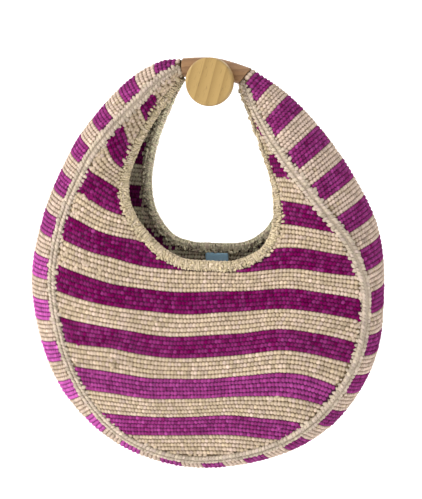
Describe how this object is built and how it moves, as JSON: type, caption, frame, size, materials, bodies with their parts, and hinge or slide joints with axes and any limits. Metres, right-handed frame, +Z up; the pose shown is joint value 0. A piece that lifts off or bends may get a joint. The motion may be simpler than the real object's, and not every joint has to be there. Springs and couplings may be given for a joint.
{
  "type": "round crochet bag on a wooden wall peg",
  "caption": "Round striped crochet shoulder bag with an arched wooden handle bar, hanging on a round wooden wall peg.",
  "frame": {"origin": "middle of the flat wall end of the peg's stem", "axes": "+Z up, +Y into the wall, so the bag's front faces -Y and +X is to the right seen from the front"},
  "size_m": [0.3898, 0.1306, 0.4547],
  "materials": {
    "natural_yarn": "matte crocheted yarn, natural ecru",
    "magenta_yarn": "matte crocheted yarn, magenta stripes between natural ones",
    "bar_wood": "smooth mid-brown wood, satin",
    "peg_wood": "smooth pale pine, satin",
    "label_cloth": "thin woven cloth, pale blue-grey, bare"
  },
  "bodies": {
    "root": {"front_panel": "magenta_yarn", "back_panel": "magenta_yarn", "gusset": "natural_yarn", "front_seam": "natural_yarn", "back_seam": "natural_yarn", "front_rim": "natural_yarn", "back_rim": "natural_yarn", "handle_bar": "bar_wood", "label": "label_cloth", "peg_disc": "peg_wood", "peg_stem": "peg_wood"}
  },
  "joints": []
}
